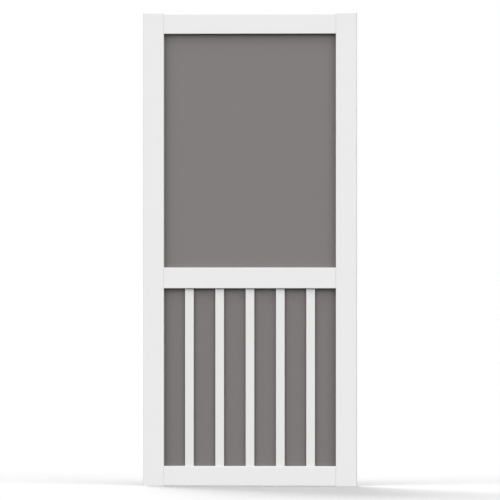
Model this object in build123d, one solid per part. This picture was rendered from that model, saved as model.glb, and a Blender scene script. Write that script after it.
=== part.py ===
from build123d import *

import os

# Hinged screen door: hollow vinyl stiles and rails round two panels of stretched insect screen,
# with upright bars in front of the lower panel.
# Millimetres. +Z is up and the front faces -Y. The origin is at the foot of the left stile's
# outer edge, which takes the hinges, in the middle of the door's thickness.
# Depths are counted from the front face, towards the back.

# The leaf, to the top of the stiles' caps
DOOR_WIDTH = 914.4
DOOR_HEIGHT = 2019.3
DOOR_THICKNESS = 31.75

# Hollow frame extrusions
STILE_WIDTH = 88.9
END_RAIL_WIDTH = 85.0
MIDDLE_RAIL_WIDTH = 88.9
MIDDLE_RAIL_CENTRE = 888.0
FRAME_WALL = 2.5
FRAME_WEB = 1.8
STILE_EDGE_RADIUS = 5.0
RAIL_EDGE_RADIUS = 2.0
ARRIS_RADIUS = 2.0

# Upright bars, hollow as well, let into sockets in the middle and bottom rails
BAR_COUNT = 5
BAR_WIDTH = 37.0
BAR_PITCH = 129.8
BAR_THICKNESS = 9.5
BAR_SETBACK = 11.0
BAR_WALL = 1.6
BAR_RADIUS = 1.2
BAR_ENTRY = 6.0
SOCKET_CLEARANCE = 0.3

# Screen seat: a rebate open to the back, with a ledge, a groove and a land in its floor
BAR_TO_SCREEN = 1.5
LEDGE_WIDTH = 8.0
GROOVE_WIDTH = 5.0
GROOVE_DEPTH = 7.0
LAND_WIDTH = 5.0

# Screen cloth with its edges turned down into the groove, and the cord that holds them there
CLOTH_THICKNESS = 0.5
HEM_DEPTH = 5.0
SPLINE_CLEARANCE = 0.15
SPLINE_COVER = 0.3
SPLINE_END_GAP = 0.3

# Moulded cap that stands on each stile's top, and the plugs let in flush at its foot
CAP_THICKNESS = 4.0
CAP_RADIUS = 1.0
PLUG_DEPTH = 14.0
PLUG_WALL = 2.0
PLUG_CLEARANCE = 0.3

# Sizes that follow from the ones above
SCREEN_DEPTH = BAR_SETBACK + BAR_THICKNESS + BAR_TO_SCREEN
GROOVE_FLOOR = SCREEN_DEPTH - GROOVE_DEPTH
GROOVE_FAR_SIDE = LEDGE_WIDTH + GROOVE_WIDTH
REBATE_WIDTH = GROOVE_FAR_SIDE + LAND_WIDTH
SPLINE_DIAMETER = GROOVE_WIDTH - CLOTH_THICKNESS - 2 * SPLINE_CLEARANCE
SPLINE_INSET = LEDGE_WIDTH + CLOTH_THICKNESS + SPLINE_CLEARANCE + SPLINE_DIAMETER / 2
SPLINE_DEPTH = SCREEN_DEPTH - SPLINE_COVER - SPLINE_DIAMETER / 2
FRONT = -DOOR_THICKNESS / 2
STILE_TOP = DOOR_HEIGHT - CAP_THICKNESS
MIDDLE_RAIL_BOTTOM = MIDDLE_RAIL_CENTRE - MIDDLE_RAIL_WIDTH / 2
MIDDLE_RAIL_TOP = MIDDLE_RAIL_CENTRE + MIDDLE_RAIL_WIDTH / 2
TOP_RAIL_BOTTOM = STILE_TOP - END_RAIL_WIDTH
PANELS = {
    "lower": (END_RAIL_WIDTH, MIDDLE_RAIL_BOTTOM),
    "upper": (MIDDLE_RAIL_TOP, TOP_RAIL_BOTTOM),
}

# The two long sides of a section
LOW, HIGH = "low", "high"


def block(x, y, z):
    """A block between a low and a high value along each axis."""
    size = [high - low for low, high in (x, y, z)]
    return Pos(x[0], y[0], z[0]) * Box(*size, align=Align.MIN)


def depths(near, far):
    """The low and high Y of what lies between two depths."""
    return FRONT + near, FRONT + far


def band(width, side, near, far, depth_near, depth_far):
    """The part of a section between two distances from one of its sides and two depths."""
    low = near if side == LOW else width - far
    return Pos(low, depth_near) * Rectangle(far - near, depth_far - depth_near, align=Align.MIN)


def outline(width, opening_sides, edge_radius):
    """A frame section's outline: the screen's rebate is cut from each side that faces an opening."""
    face = Rectangle(width, DOOR_THICKNESS, align=Align.MIN)
    for side in opening_sides:
        face -= band(width, side, 0, REBATE_WIDTH, SCREEN_DEPTH, DOOR_THICKNESS)
    for side in (LOW, HIGH):
        at_side = 0 if side == LOW else width
        step = REBATE_WIDTH if side in opening_sides else 0
        at_back = at_side + step if side == LOW else at_side - step
        radius = ARRIS_RADIUS if side in opening_sides else edge_radius
        corners = [v for v in face.vertices() if is_at(v, at_side, 0) or is_at(v, at_back, DOOR_THICKNESS)]
        face = fillet(corners, radius)
    return face


def is_at(vertex, x, y):
    """Whether a corner of a section is at a place."""
    return abs(vertex.X - x) + abs(vertex.Y - y) < 0.001


def main_chambers(width, opening_sides):
    """The low and high limits of the two full-depth chambers of a section, each side of its web."""
    inset = {side: REBATE_WIDTH if side in opening_sides else 0 for side in (LOW, HIGH)}
    low = inset[LOW] + FRAME_WALL
    high = width - inset[HIGH] - FRAME_WALL
    middle = (low + high) / 2
    return [(low, middle - FRAME_WEB / 2), (middle + FRAME_WEB / 2, high)]


def frame_section(width, opening_sides, edge_radius):
    """A hollow frame section: the outline less its chambers and the grooves for the screen."""
    face = outline(width, opening_sides, edge_radius)
    for low, high in main_chambers(width, opening_sides):
        face -= band(width, LOW, low, high, FRAME_WALL, DOOR_THICKNESS - FRAME_WALL)
    for side in opening_sides:
        face -= band(width, side, FRAME_WALL, REBATE_WIDTH, FRAME_WALL, GROOVE_FLOOR - FRAME_WALL)
        face -= band(width, side, LEDGE_WIDTH, GROOVE_FAR_SIDE, GROOVE_FLOOR, SCREEN_DEPTH)
    return face


def on_right(shape):
    """The same piece on the door's right-hand side, the other way round."""
    return Pos(DOOR_WIDTH, 0, 0) * mirror(shape, Plane.YZ)


def groove_heights():
    """The heights of the rails' screen grooves, where they run on across the stiles' ledges."""
    for bottom, top in PANELS.values():
        yield bottom - GROOVE_FAR_SIDE, bottom - LEDGE_WIDTH
        yield top + LEDGE_WIDTH, top + GROOVE_FAR_SIDE


def stile():
    """The left stile, from the foot of the door to its cap."""
    section = frame_section(STILE_WIDTH, [HIGH], STILE_EDGE_RADIUS)
    body = Pos(0, FRONT, 0) * extrude(section, STILE_TOP)
    ledge = (STILE_WIDTH - LEDGE_WIDTH, STILE_WIDTH)
    for heights in groove_heights():
        body -= block(ledge, depths(GROOVE_FLOOR, SCREEN_DEPTH), heights)
    return body


def rail(bottom, width, opening_sides):
    """A rail that butts against both stiles and fills their rebates behind with longer shoulders."""
    shoulder = STILE_WIDTH - REBATE_WIDTH
    plane = Plane(origin=(DOOR_WIDTH - shoulder, FRONT, bottom), x_dir=(0, 0, 1), z_dir=(-1, 0, 0))
    section = frame_section(width, opening_sides, RAIL_EDGE_RADIUS)
    body = plane * extrude(section, DOOR_WIDTH - 2 * shoulder)
    cope = block((shoulder, STILE_WIDTH), depths(0, SCREEN_DEPTH), (bottom, bottom + width))
    return body - cope - on_right(cope)


def bar_lefts():
    """The left side of each bar: the bars stand evenly about the middle of the door."""
    first = (DOOR_WIDTH - (BAR_COUNT - 1) * BAR_PITCH - BAR_WIDTH) / 2
    return [first + k * BAR_PITCH for k in range(BAR_COUNT)]


def bar(left):
    """A flat hollow bar with a web in the middle, from inside one rail's socket to the other's."""
    bottom, top = PANELS["lower"]
    face = RectangleRounded(BAR_WIDTH, BAR_THICKNESS, BAR_RADIUS)
    chamber = (BAR_WIDTH - 3 * BAR_WALL) / 2
    for way in (-1, 1):
        face -= Pos(way * (chamber + BAR_WALL) / 2, 0) * Rectangle(chamber, BAR_THICKNESS - 2 * BAR_WALL)
    body = extrude(face, top - bottom + 2 * BAR_ENTRY)
    return Pos(left + BAR_WIDTH / 2, FRONT + BAR_SETBACK + BAR_THICKNESS / 2, bottom - BAR_ENTRY) * body


def sockets(heights):
    """What is cut from a rail so that the bars enter it."""
    across = depths(BAR_SETBACK - SOCKET_CLEARANCE, BAR_SETBACK + BAR_THICKNESS + SOCKET_CLEARANCE)
    return [
        block((left - SOCKET_CLEARANCE, left + BAR_WIDTH + SOCKET_CLEARANCE), across, heights)
        for left in bar_lefts()
    ]


def screen(bottom, top):
    """Screen cloth that lies on the ledges, with its four edges turned down into the grooves."""
    reach = LEDGE_WIDTH + CLOTH_THICKNESS
    wide = (STILE_WIDTH - reach, DOOR_WIDTH - STILE_WIDTH + reach)
    high = (bottom - reach, top + reach)
    cloth = block(wide, depths(SCREEN_DEPTH - HEM_DEPTH, SCREEN_DEPTH + CLOTH_THICKNESS), high)
    inside = [(low + CLOTH_THICKNESS, far - CLOTH_THICKNESS) for low, far in (wide, high)]
    return cloth - block(inside[0], depths(SCREEN_DEPTH - HEM_DEPTH, SCREEN_DEPTH), inside[1])


def splines(bottom, top):
    """The four lengths of cord pressed into the grooves round one panel."""
    y = FRONT + SPLINE_DEPTH
    radius = SPLINE_DIAMETER / 2
    side_bottom = bottom - GROOVE_FAR_SIDE + SPLINE_END_GAP
    side_length = top - bottom + 2 * (GROOVE_FAR_SIDE - SPLINE_END_GAP)
    side_x = STILE_WIDTH - SPLINE_INSET
    upright = Cylinder(radius, side_length, align=(Align.CENTER, Align.CENTER, Align.MIN))
    left = Pos(side_x, y, side_bottom) * upright
    start = side_x + radius + SPLINE_END_GAP
    level = Rot(0, 90, 0) * Cylinder(
        radius, DOOR_WIDTH - 2 * start, align=(Align.CENTER, Align.CENTER, Align.MIN)
    )
    return {
        "left": left,
        "right": on_right(left),
        "bottom": Pos(start, y, bottom - SPLINE_INSET) * level,
        "top": Pos(start, y, top + SPLINE_INSET) * level,
    }


def plug_sections():
    """The outlines of what fits the left stile's two main chambers, and of the hollows in it."""
    inset = FRAME_WALL + PLUG_CLEARANCE
    for low, high in main_chambers(STILE_WIDTH, [HIGH]):
        near, far = low + PLUG_CLEARANCE, high - PLUG_CLEARANCE
        outside = band(STILE_WIDTH, LOW, near, far, inset, DOOR_THICKNESS - inset)
        hollow = band(
            STILE_WIDTH, LOW, near + PLUG_WALL, far - PLUG_WALL,
            inset + PLUG_WALL, DOOR_THICKNESS - inset - PLUG_WALL,
        )
        yield outside, hollow


def top_cap():
    """The left stile's cap: a plate with the stile's outline and a skirt into each chamber."""
    plate = extrude(outline(STILE_WIDTH, [HIGH], STILE_EDGE_RADIUS), CAP_THICKNESS)
    plate = fillet(plate.faces().sort_by(Axis.Z)[-1].outer_wire().edges(), CAP_RADIUS)
    for outside, hollow in plug_sections():
        plate += extrude(outside - hollow, -PLUG_DEPTH)
    return Pos(0, FRONT, STILE_TOP) * plate


def foot_plugs():
    """The two cups that close the left stile's chambers, flush with its foot."""
    cups = [
        extrude(outside, PLUG_DEPTH) - Pos(0, 0, PLUG_WALL) * extrude(hollow, PLUG_DEPTH)
        for outside, hollow in plug_sections()
    ]
    return Pos(0, FRONT, 0) * Compound(cups)


def build():
    """Every piece of the door, by name."""
    pieces = {"left_stile": stile()}
    pieces["right_stile"] = on_right(pieces["left_stile"])
    pieces["top_rail"] = rail(TOP_RAIL_BOTTOM, END_RAIL_WIDTH, [LOW])
    middle = rail(MIDDLE_RAIL_BOTTOM, MIDDLE_RAIL_WIDTH, [LOW, HIGH])
    bottom = rail(0, END_RAIL_WIDTH, [HIGH])
    reach = BAR_ENTRY + SOCKET_CLEARANCE
    pieces["middle_rail"] = middle - sockets((MIDDLE_RAIL_BOTTOM, MIDDLE_RAIL_BOTTOM + reach))
    pieces["bottom_rail"] = bottom - sockets((END_RAIL_WIDTH - reach, END_RAIL_WIDTH))
    for number, left in enumerate(bar_lefts(), 1):
        pieces[f"bar_{number}"] = bar(left)
    for panel, (low, high) in PANELS.items():
        pieces[f"{panel}_screen"] = screen(low, high)
        for place, cord in splines(low, high).items():
            pieces[f"{panel}_spline_{place}"] = cord
    for end, piece in (("top_cap", top_cap()), ("foot_plugs", foot_plugs())):
        pieces[f"left_{end}"] = piece
        pieces[f"right_{end}"] = on_right(piece)
    return pieces


os.makedirs("parts", exist_ok=True)
for name, piece in build().items():
    export_step(piece, f"parts/{name}.step")
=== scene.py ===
"""Looks of a white vinyl screen door: extruded frame and bars, stretched insect screens and their splines.

Everything is in metres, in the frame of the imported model: +Z is up, the front faces -Y, and the
origin is at the foot of the hinge edge, in the middle of the door's thickness.
"""

import logging
import math
from dataclasses import dataclass, field
from enum import Enum
from typing import Iterable

import bpy
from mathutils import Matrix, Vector

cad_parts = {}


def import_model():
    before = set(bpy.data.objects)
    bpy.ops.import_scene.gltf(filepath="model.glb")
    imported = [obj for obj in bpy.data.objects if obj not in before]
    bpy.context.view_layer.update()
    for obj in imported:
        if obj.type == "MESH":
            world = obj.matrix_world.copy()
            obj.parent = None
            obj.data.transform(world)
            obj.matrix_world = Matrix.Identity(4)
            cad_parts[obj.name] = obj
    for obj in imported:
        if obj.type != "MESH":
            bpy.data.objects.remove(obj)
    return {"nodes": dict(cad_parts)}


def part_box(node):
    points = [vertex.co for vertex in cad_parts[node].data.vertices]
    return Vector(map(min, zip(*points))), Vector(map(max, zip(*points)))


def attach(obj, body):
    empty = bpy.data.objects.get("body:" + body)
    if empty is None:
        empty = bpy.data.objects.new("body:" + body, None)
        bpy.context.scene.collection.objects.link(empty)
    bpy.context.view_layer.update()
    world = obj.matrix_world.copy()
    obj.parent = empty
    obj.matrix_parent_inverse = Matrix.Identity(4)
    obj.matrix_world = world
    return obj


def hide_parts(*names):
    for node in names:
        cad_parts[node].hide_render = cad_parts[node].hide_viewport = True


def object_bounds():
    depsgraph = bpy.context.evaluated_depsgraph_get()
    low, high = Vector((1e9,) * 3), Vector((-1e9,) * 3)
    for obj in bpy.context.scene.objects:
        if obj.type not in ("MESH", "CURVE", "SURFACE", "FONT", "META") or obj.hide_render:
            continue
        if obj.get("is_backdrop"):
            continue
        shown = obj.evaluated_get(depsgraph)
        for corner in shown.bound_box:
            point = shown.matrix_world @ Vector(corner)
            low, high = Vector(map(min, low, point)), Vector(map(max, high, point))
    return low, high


LOG = logging.getLogger("screen_door")
BODY = "root"
MM = 0.001
INCH = 0.0254

# A Mix node's sockets for colours, by number, because sockets of other types have the same names
MIX_FROM, MIX_TO, MIXED = 6, 7, 2


class Run(Enum):
    """The way a long piece runs, as the index of its axis."""

    ACROSS = 0
    UPRIGHT = 2


class Lamp(Enum):
    """The studio's distant lamps.

    Each is its degrees from the front towards the left, degrees up, breadth in degrees, and strength.
    """

    FRONT_LEFT = (45.0, 22.0, 58.0, 1.89)
    FRONT_RIGHT = (-45.0, 22.0, 58.0, 1.89)
    OVERHEAD = (0.0, 68.0, 24.0, 0.9)
    REAR_LEFT = (158.0, 37.0, 30.0, 2.8)
    RIGHT_SIDE = (-100.0, 8.0, 30.0, 0.3)


def deselect() -> None:
    """Leaves nothing selected, so that an operator acts only on what is picked next."""
    if bpy.context.object is not None and bpy.context.object.mode != "OBJECT":
        bpy.ops.object.mode_set(mode="OBJECT")
    bpy.ops.object.select_all(action="DESELECT")


def activate(piece: bpy.types.Object) -> None:
    """Makes one piece the only selected and the active one.

    Args:
        piece: the object that the next operators act on.
    """
    deselect()
    piece.select_set(True)
    bpy.context.view_layer.objects.active = piece


def apply_modifiers(piece: bpy.types.Object) -> None:
    """Applies every modifier of a piece, in order.

    Args:
        piece: the object whose modifiers become part of its mesh.
    """
    activate(piece)
    for name in [m.name for m in piece.modifiers]:
        bpy.ops.object.modifier_apply(modifier=name)


class Graph:
    """A material's node tree, filled node by node."""

    def __init__(self, name: str) -> None:
        """Makes a material with an empty node tree and an output.

        Args:
            name: the material's name.
        """
        self.material = bpy.data.materials.new(name)
        self.material.use_nodes = True
        self.nodes = self.material.node_tree.nodes
        self.links = self.material.node_tree.links
        self.nodes.clear()
        self.output = self.nodes.new("ShaderNodeOutputMaterial")

    def add(self, kind: str, inputs: dict | None = None, **settings: object) -> bpy.types.Node:
        """Adds a node and fills its sockets.

        Args:
            kind: the node's type name, without "ShaderNode".
            inputs: socket name or number to a value, or to a socket to link from.
            settings: the node's own properties.

        Returns:
            The new node.
        """
        node = self.nodes.new("ShaderNode" + kind)
        for name, value in settings.items():
            setattr(node, name, value)
        for key, value in (inputs or {}).items():
            if isinstance(value, bpy.types.NodeSocket):
                self.links.new(value, node.inputs[key])
            else:
                node.inputs[key].default_value = value
        return node

    def math(self, operation: str, *values: object) -> bpy.types.NodeSocket:
        """Adds a Math node.

        Args:
            operation: the sum to work out.
            values: its numbers or sockets, in order.

        Returns:
            The result's socket.
        """
        return self.add("Math", dict(enumerate(values)), operation=operation).outputs[0]

    def finish(self, shader: bpy.types.Node) -> bpy.types.Material:
        """Links the last shader to the output.

        Args:
            shader: the node whose first output is the surface.

        Returns:
            The finished material.
        """
        self.links.new(shader.outputs[0], self.output.inputs["Surface"])
        return self.material


@dataclass(frozen=True)
class ExtrudedVinyl:
    """White vinyl as it leaves the die: faint lines along its run and walls that are not quite flat."""

    name: str = "frame_vinyl"
    colour: tuple[float, float, float] = (0.84, 0.84, 0.838)
    deepest_tone: float = 0.985
    roughness: tuple[float, float] = (0.34, 0.42)
    die_lines_a_metre: float = 420.0
    line_detail: float = 3.0
    line_stretch: float = 0.004
    line_depth: float = 0.02 * MM
    waves_a_metre: float = 7.0
    wave_detail: float = 1.0
    wave_depth: float = 0.25 * MM

    def material(self, run: Run) -> bpy.types.Material:
        """Builds the finish for pieces that run one way.

        Args:
            run: the way that the die lines run.

        Returns:
            The material.
        """
        graph = Graph(f"{self.name}_{run.name.lower()}")
        place = graph.add("TexCoord").outputs["Object"]
        stretch = [1.0, 1.0, 1.0]
        stretch[run.value] = self.line_stretch
        along = graph.add("Mapping", {"Vector": place, "Scale": stretch}).outputs[0]
        lines = graph.add(
            "TexNoise", {"Vector": along, "Scale": self.die_lines_a_metre, "Detail": self.line_detail}
        ).outputs["Fac"]
        waves = graph.add(
            "TexNoise", {"Vector": place, "Scale": self.waves_a_metre, "Detail": self.wave_detail}
        ).outputs["Fac"]
        tone = graph.add("MapRange", {"Value": waves, "To Min": self.deepest_tone}).outputs[0]
        colour = graph.add(
            "Mix",
            {"Factor": 1.0, MIX_FROM: (*self.colour, 1.0), MIX_TO: tone},
            data_type="RGBA",
            blend_type="MULTIPLY",
        ).outputs[MIXED]
        low, high = self.roughness
        rough = graph.add("MapRange", {"Value": lines, "To Min": low, "To Max": high}).outputs[0]
        wall = graph.add("Bump", {"Height": waves, "Distance": self.wave_depth}).outputs[0]
        skin = graph.add("Bump", {"Height": lines, "Distance": self.line_depth, "Normal": wall}).outputs[0]
        shader = graph.add("BsdfPrincipled", {"Base Color": colour, "Roughness": rough, "Normal": skin})
        return graph.finish(shader)


@dataclass(frozen=True)
class MouldedPlastic:
    """White moulded plastic with the fine grain of its mould."""

    colour: tuple[float, float, float] = (0.83, 0.83, 0.828)
    roughness: tuple[float, float] = (0.42, 0.52)
    grains_a_metre: float = 1600.0
    grain_detail: float = 2.0
    grain_depth: float = 0.03 * MM

    def material(self) -> bpy.types.Material:
        """Builds the finish.

        Returns:
            The material.
        """
        graph = Graph("moulded_plastic")
        place = graph.add("TexCoord").outputs["Object"]
        grain = graph.add(
            "TexNoise", {"Vector": place, "Scale": self.grains_a_metre, "Detail": self.grain_detail}
        ).outputs["Fac"]
        low, high = self.roughness
        rough = graph.add("MapRange", {"Value": grain, "To Min": low, "To Max": high}).outputs[0]
        skin = graph.add("Bump", {"Height": grain, "Distance": self.grain_depth}).outputs[0]
        shader = graph.add(
            "BsdfPrincipled", {"Base Color": (*self.colour, 1.0), "Roughness": rough, "Normal": skin}
        )
        return graph.finish(shader)


@dataclass(frozen=True)
class WovenScreen:
    """Coated fibreglass insect screen: a plain weave of warm grey threads, with painted shade in the gaps
    between them and where they dip under each other.
    """

    name: str = "upper_cloth"
    thread_colour: tuple[float, float, float] = (0.236, 0.218, 0.215)
    # The gap colour is painted shade, not a colour of the cloth.
    gap_shade_colour: tuple[float, float, float] = (0.153, 0.143, 0.14)
    upright_pitch: float = INCH / 18
    level_pitch: float = INCH / 16
    thread_share: float = 0.55
    crimp: float = 0.35
    depth: float = 0.12 * MM
    depth_share: float = 0.6
    roughness: float = 0.6

    def threads(
        self, graph: Graph, across: bpy.types.NodeSocket, along: bpy.types.NodeSocket, phase: float
    ) -> bpy.types.NodeSocket:
        """Works out how high one set of threads stands.

        Args:
            graph: the material's node tree.
            across: the place across the threads, in pitches.
            along: the place along the threads, in pitches of the other set.
            phase: 0 or 1, so that the two sets pass over and under each other.

        Returns:
            The socket of the height, from 0 in a gap to 1 on a crest.
        """
        number = graph.math("FLOOR", across)
        beside = graph.math("ABSOLUTE", graph.math("SUBTRACT", graph.math("FRACT", across), 0.5))
        flank = graph.math("DIVIDE", beside, self.thread_share / 2)
        arch = graph.math("SUBTRACT", 1.0, graph.math("MULTIPLY", flank, flank))
        body = graph.math("MAXIMUM", arch, 0.0)
        turn = graph.math("MULTIPLY", graph.math("ADD", graph.math("ADD", along, number), phase), math.pi)
        weave = graph.math("MULTIPLY_ADD", graph.math("SINE", turn), self.crimp, 1.0 - self.crimp)
        return graph.math("MULTIPLY", body, weave)

    def material(self) -> bpy.types.Material:
        """Builds the finish.

        Returns:
            The material.
        """
        graph = Graph(self.name)
        place = graph.add("TexCoord").outputs["Object"]
        parts = graph.add("SeparateXYZ", {"Vector": place}).outputs
        across = graph.math("DIVIDE", parts["X"], self.upright_pitch)
        upwards = graph.math("DIVIDE", parts["Z"], self.level_pitch)
        upright = self.threads(graph, across, upwards, 0.0)
        level = self.threads(graph, upwards, across, 1.0)
        height = graph.math("MAXIMUM", upright, level)
        # Painted shade: the colour darkens from the crests of the threads into the gaps and where each
        # thread dips under the other set.
        colour = graph.add(
            "Mix",
            {"Factor": height, MIX_FROM: (*self.gap_shade_colour, 1.0), MIX_TO: (*self.thread_colour, 1.0)},
            data_type="RGBA",
        ).outputs[MIXED]
        relief = graph.add(
            "Bump", {"Height": height, "Distance": self.depth, "Strength": self.depth_share}
        ).outputs[0]
        shader = graph.add(
            "BsdfPrincipled", {"Base Color": colour, "Roughness": self.roughness, "Normal": relief}
        )
        return graph.finish(shader)


@dataclass(frozen=True)
class SplineVinyl:
    """Soft grey vinyl cord, scuffed by the roller that pressed it in."""

    colour: tuple[float, float, float] = (0.22, 0.215, 0.212)
    scuffed: tuple[float, float, float] = (0.3, 0.295, 0.29)
    roughness: float = 0.55
    scuffs_a_metre: float = 260.0
    scuff_detail: float = 4.0
    scuff_edge: tuple[float, float] = (0.5, 0.75)
    scuff_depth: float = 0.05 * MM

    def material(self) -> bpy.types.Material:
        """Builds the finish.

        Returns:
            The material.
        """
        graph = Graph("spline_vinyl")
        place = graph.add("TexCoord").outputs["Object"]
        scuffs = graph.add(
            "TexNoise", {"Vector": place, "Scale": self.scuffs_a_metre, "Detail": self.scuff_detail}
        ).outputs["Fac"]
        faint, full = self.scuff_edge
        share = graph.add("MapRange", {"Value": scuffs, "From Min": faint, "From Max": full}).outputs[0]
        colour = graph.add(
            "Mix",
            {"Factor": share, MIX_FROM: (*self.colour, 1.0), MIX_TO: (*self.scuffed, 1.0)},
            data_type="RGBA",
        ).outputs[MIXED]
        skin = graph.add("Bump", {"Height": scuffs, "Distance": self.scuff_depth}).outputs[0]
        shader = graph.add(
            "BsdfPrincipled", {"Base Color": colour, "Roughness": self.roughness, "Normal": skin}
        )
        return graph.finish(shader)


def dress(node: bpy.types.Object, material: bpy.types.Material) -> None:
    """Gives every material slot of a piece one finish.

    Args:
        node: the piece.
        material: its finish.
    """
    if not node.material_slots:
        node.data.materials.append(material)
    for slot in node.material_slots:
        slot.material = material


@dataclass
class DoorFrame:
    """The stiles, rails and bars, and the plastic parts that close the stiles."""

    nodes: dict[str, bpy.types.Object]
    vinyl: ExtrudedVinyl = field(default_factory=ExtrudedVinyl)
    # The bars' vinyl is written a shade darker than the frame's, as painted shade for their setback behind
    # the rails; the real bars are the same vinyl.
    shaded_bar_vinyl: ExtrudedVinyl = field(
        default_factory=lambda: ExtrudedVinyl("shaded_bar_vinyl", (0.8, 0.8, 0.797))
    )
    plastic: MouldedPlastic = field(default_factory=MouldedPlastic)

    def dress(self) -> None:
        """Finishes each extrusion along its own run, and the caps and plugs as mouldings."""
        upright = self.vinyl.material(Run.UPRIGHT)
        across = self.vinyl.material(Run.ACROSS)
        bars = self.shaded_bar_vinyl.material(Run.UPRIGHT)
        moulded = self.plastic.material()
        for name, node in sorted(self.nodes.items()):
            if name.endswith("_rail"):
                dress(node, across)
            elif name.endswith("_stile"):
                dress(node, upright)
            elif name.startswith("bar_"):
                dress(node, bars)
            elif name.endswith(("_cap", "_plugs")):
                dress(node, moulded)
            else:
                continue
            LOG.info("%s dressed", name)


@dataclass
class ScreenPanel:
    """One panel of screen cloth, stretched over the ledges with its edges turned into the groove."""

    panel: str
    cloth: float = 0.36 * MM
    fold_radius: float = 0.5 * MM
    fold_steps: int = 3
    grid: float = 30 * MM
    pucker: float = 0.12 * MM
    pucker_size: float = 0.07
    smooth_to: float = math.radians(40)

    def build(self) -> bpy.types.Object:
        """Models the cloth as a flat sheet whose rim is turned down all round.

        Returns:
            The finished cloth, in place.
        """
        low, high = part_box(f"{self.panel}_screen")
        size, middle = high - low, (low + high) / 2
        deselect()
        bpy.ops.mesh.primitive_plane_add(
            size=1.0, location=(middle.x, high.y - self.cloth / 2, middle.z), rotation=(math.pi / 2, 0, 0)
        )
        piece = bpy.context.object
        piece.name = f"{self.panel}_screen_cloth"
        piece.scale = (size.x - self.cloth, size.z - self.cloth, 1.0)
        bpy.ops.object.transform_apply(location=True, rotation=True, scale=True)
        bpy.ops.object.mode_set(mode="EDIT")
        bpy.ops.mesh.select_mode(type="EDGE")
        bpy.ops.mesh.select_all(action="SELECT")
        bpy.ops.mesh.region_to_loop()
        bpy.ops.mesh.extrude_edges_move(TRANSFORM_OT_translate={"value": (0, -(size.y - self.cloth), 0)})
        bpy.ops.object.mode_set(mode="OBJECT")
        self.subdivide(piece)
        self.finish(piece)
        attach(piece, BODY)
        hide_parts(f"{self.panel}_screen")
        return piece

    def subdivide(self, piece: bpy.types.Object) -> None:
        """Cuts the cloth into a grid by bisecting it both ways, and rounds its fold.

        Args:
            piece: the cloth, with its rim turned down.
        """
        low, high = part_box(f"{self.panel}_screen")
        activate(piece)
        bpy.ops.object.mode_set(mode="EDIT")
        for axis in (0, 2):
            count = round((high[axis] - low[axis]) / self.grid)
            normal = [float(axis == k) for k in range(3)]
            for k in range(1, count):
                place = low.lerp(high, k / count)
                bpy.ops.mesh.select_all(action="SELECT")
                bpy.ops.mesh.bisect(plane_co=place, plane_no=normal)
        bpy.ops.object.mode_set(mode="OBJECT")
        fold = piece.modifiers.new("fold", "BEVEL")
        fold.width, fold.segments, fold.limit_method = self.fold_radius, self.fold_steps, "ANGLE"
        apply_modifiers(piece)

    def finish(self, piece: bpy.types.Object) -> None:
        """Gives the cloth its faint pull marks and its thickness.

        Args:
            piece: the cloth, cut into a grid.
        """
        marks = bpy.data.textures.new(f"{self.panel}_pull", "CLOUDS")
        marks.noise_scale = self.pucker_size
        pull = piece.modifiers.new("pull", "DISPLACE")
        pull.texture, pull.texture_coords, pull.direction = marks, "LOCAL", "Y"
        pull.strength = self.pucker
        skin = piece.modifiers.new("thickness", "SOLIDIFY")
        skin.thickness, skin.offset = self.cloth, 0.0
        apply_modifiers(piece)
        bpy.ops.object.shade_smooth_by_angle(angle=self.smooth_to)


@dataclass
class SplineLength:
    """One length of ribbed cord, pressed into the groove beside the turned edge of the cloth."""

    node: str
    run: Run
    ribs: int = 14
    rib_depth: float = 0.1
    step: float = 25 * MM
    ripple: float = 0.25 * MM
    ripple_size: float = 0.04
    smooth_to: float = math.radians(30)

    def build(self) -> bpy.types.Object:
        """Models the cord from a ribbed section, extruded over its length in steps.

        Returns:
            The finished cord, in place.
        """
        low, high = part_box(self.node)
        size, middle = high - low, (low + high) / 2
        radius, length = size.y / 2, size[self.run.value]
        start = middle.copy()
        start[self.run.value] = low[self.run.value]
        turned = (0.0, math.pi / 2, 0.0) if self.run is Run.ACROSS else (0.0, 0.0, 0.0)
        deselect()
        bpy.ops.mesh.primitive_circle_add(
            vertices=2 * self.ribs, radius=radius, fill_type="NGON", location=start, rotation=turned
        )
        piece = bpy.context.object
        piece.name = f"{self.node}_cord"
        bpy.ops.object.transform_apply(location=True, rotation=True, scale=True)
        for k, corner in enumerate(piece.data.vertices):
            corner.select = k % 2 == 1
        for flat in (*piece.data.edges, *piece.data.polygons):
            flat.select = False
        bpy.ops.object.mode_set(mode="EDIT")
        bpy.ops.mesh.select_mode(type="VERT")
        inner = 1.0 - self.rib_depth
        bpy.ops.transform.resize(value=(inner, inner, inner), center_override=start)
        steps = round(length / self.step)
        move = [length / steps if k == self.run.value else 0.0 for k in range(3)]
        bpy.ops.mesh.select_all(action="SELECT")
        for _ in range(steps):
            bpy.ops.mesh.extrude_region_move(TRANSFORM_OT_translate={"value": move})
        bpy.ops.mesh.select_all(action="SELECT")
        bpy.ops.mesh.normals_make_consistent(inside=False)
        bpy.ops.object.mode_set(mode="OBJECT")
        marks = bpy.data.textures.new(f"{self.node}_ripple", "CLOUDS")
        marks.noise_scale = self.ripple_size
        ripple = piece.modifiers.new("ripple", "DISPLACE")
        ripple.texture, ripple.texture_coords, ripple.direction = marks, "LOCAL", "Y"
        ripple.strength = self.ripple
        apply_modifiers(piece)
        bpy.ops.object.shade_smooth_by_angle(angle=self.smooth_to)
        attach(piece, BODY)
        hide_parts(self.node)
        return piece


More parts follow.
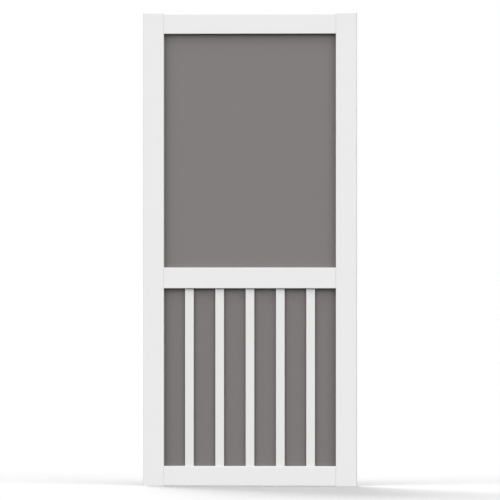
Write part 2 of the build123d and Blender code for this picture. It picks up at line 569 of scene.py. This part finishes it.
@dataclass
class Screens:
    """Both screens and the eight lengths of spline that hold them."""

    upper: WovenScreen = field(default_factory=WovenScreen)
    # The lower cloth is written a shade darker than the upper one, as painted shade for the bars in front
    # of it; the real cloth is the same.
    lower: WovenScreen = field(
        default_factory=lambda: WovenScreen("lower_cloth", (0.216, 0.2, 0.196), (0.14, 0.13, 0.128))
    )
    cord: SplineVinyl = field(default_factory=SplineVinyl)

    def build(self) -> None:
        """Models and dresses every screen and spline."""
        cloths, cord = {"upper": self.upper, "lower": self.lower}, self.cord.material()
        sides = {"left": Run.UPRIGHT, "right": Run.UPRIGHT, "bottom": Run.ACROSS, "top": Run.ACROSS}
        for panel, cloth in cloths.items():
            piece = ScreenPanel(panel).build()
            dress(piece, cloth.material())
            LOG.info("%s made, %d faces", piece.name, len(piece.data.polygons))
            for side, run in sides.items():
                piece = SplineLength(f"{panel}_spline_{side}", run).build()
                dress(piece, cord)
                LOG.info("%s made, %d faces", piece.name, len(piece.data.polygons))


@dataclass
class Studio:
    """The white studio: a seamless floor, a pale sky, soft lamps and a long lens."""

    door_low: Vector
    door_high: Vector
    picture: float = 500.0
    door_left_pixel: float = 142.96
    door_foot_pixel: float = 486.05
    door_top_pixel: float = 12.94
    distance: float = 40.0
    turn: float = math.radians(4.5)
    sensor: float = 36.0
    far_clip: float = 400.0
    sky: float = 0.28
    light_bounces: int = 0
    floor_size: float = 600.0
    floor_gap: float = 0.2 * MM
    floor_colour: tuple[float, float, float] = (0.66, 0.66, 0.66)
    floor_bounce: tuple[float, float, float] = (0.12, 0.12, 0.12)

    def camera(self) -> None:
        """Places the camera level with the photograph's middle, a little to the right."""
        scale = (self.door_high.z - self.door_low.z) / (self.door_foot_pixel - self.door_top_pixel)
        middle = self.picture / 2
        aim = Vector((
            self.door_low.x + (middle - self.door_left_pixel) * scale / math.cos(self.turn),
            self.door_low.y,
            self.door_low.z + (self.door_foot_pixel - middle) * scale,
        ))
        back = Vector((math.sin(self.turn), -math.cos(self.turn), 0.0))
        data = bpy.data.cameras.new("camera")
        data.sensor_width = self.sensor
        data.lens = self.sensor * self.distance / (self.picture * scale)
        data.clip_end = self.far_clip
        camera = bpy.data.objects.new("camera", data)
        camera.location = aim + back * self.distance
        camera.rotation_euler = (-back).to_track_quat("-Z", "Y").to_euler()
        bpy.context.scene.collection.objects.link(camera)
        bpy.context.scene.camera = camera

    def lamp(self, kind: Lamp) -> None:
        """Sets one distant lamp, of which only the light that comes straight from it counts.

        Args:
            kind: which lamp, with its direction, breadth and strength.
        """
        turn, height, breadth, strength = kind.value
        side, up = math.radians(turn), math.radians(height)
        source = Vector((-math.sin(side) * math.cos(up), -math.cos(side) * math.cos(up), math.sin(up)))
        data = bpy.data.lights.new(kind.name.lower(), "SUN")
        data.energy, data.angle = strength, math.radians(breadth)
        data.cycles.max_bounces = self.light_bounces
        data.cycles.use_multiple_importance_sampling = False
        lamp = bpy.data.objects.new(kind.name.lower(), data)
        lamp.rotation_euler = source.to_track_quat("Z", "Y").to_euler()
        bpy.context.scene.collection.objects.link(lamp)

    def world(self) -> None:
        """Sets a pale sky that the camera and reflections see as white."""
        world = bpy.data.worlds.new("white_sky")
        world.use_nodes = True
        nodes, links = world.node_tree.nodes, world.node_tree.links
        nodes.clear()
        path = nodes.new("ShaderNodeLightPath").outputs
        mirrored = nodes.new("ShaderNodeMath")
        mirrored.operation = "MAXIMUM"
        links.new(path["Is Glossy Ray"], mirrored.inputs[0])
        links.new(path["Is Transmission Ray"], mirrored.inputs[1])
        shown = nodes.new("ShaderNodeMath")
        shown.operation = "MAXIMUM"
        links.new(path["Is Camera Ray"], shown.inputs[0])
        links.new(mirrored.outputs[0], shown.inputs[1])
        strength = nodes.new("ShaderNodeMapRange")
        strength.inputs["To Min"].default_value = self.sky
        strength.inputs["To Max"].default_value = 1.0
        links.new(shown.outputs[0], strength.inputs["Value"])
        sky = nodes.new("ShaderNodeBackground")
        sky.inputs["Color"].default_value = (1.0, 1.0, 1.0, 1.0)
        links.new(strength.outputs[0], sky.inputs["Strength"])
        output = nodes.new("ShaderNodeOutputWorld")
        links.new(sky.outputs[0], output.inputs["Surface"])
        world.cycles.max_bounces = self.light_bounces
        bpy.context.scene.world = world

    def floor(self) -> None:
        """Lays the seamless floor just under the door's foot."""
        deselect()
        level = self.door_low.z - self.floor_gap
        bpy.ops.mesh.primitive_plane_add(size=self.floor_size, location=(0.0, 0.0, level))
        floor = bpy.context.object
        floor.name = "studio_floor"
        bpy.ops.object.transform_apply(location=True, rotation=True, scale=True)
        graph = Graph("studio_floor")
        thrown = graph.add("BsdfDiffuse", {"Color": (*self.floor_bounce, 1.0)})
        seen = graph.add("BsdfDiffuse", {"Color": (*self.floor_colour, 1.0)})
        path = graph.add("LightPath").outputs
        mirrored = graph.math("MAXIMUM", path["Is Glossy Ray"], path["Is Transmission Ray"])
        shown = graph.math("MAXIMUM", path["Is Camera Ray"], mirrored)
        shader = graph.add("MixShader", {0: shown, 1: thrown.outputs[0], 2: seen.outputs[0]})
        floor.data.materials.append(graph.finish(shader))
        floor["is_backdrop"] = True

    def build(self) -> None:
        """Sets up the whole studio."""
        self.camera()
        self.world()
        for kind in Lamp:
            self.lamp(kind)
        self.floor()
        bpy.context.scene.view_settings.view_transform = "Standard"


def main() -> None:
    """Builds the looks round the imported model, part by part."""
    logging.basicConfig(level=logging.INFO, format="%(name)s: %(message)s")
    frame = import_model()
    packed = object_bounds()
    Studio(*packed).build()
    DoorFrame(frame["nodes"]).dress()
    Screens().build()
    deselect()
    bpy.context.view_layer.update()


if __name__ == "__main__":
    main()
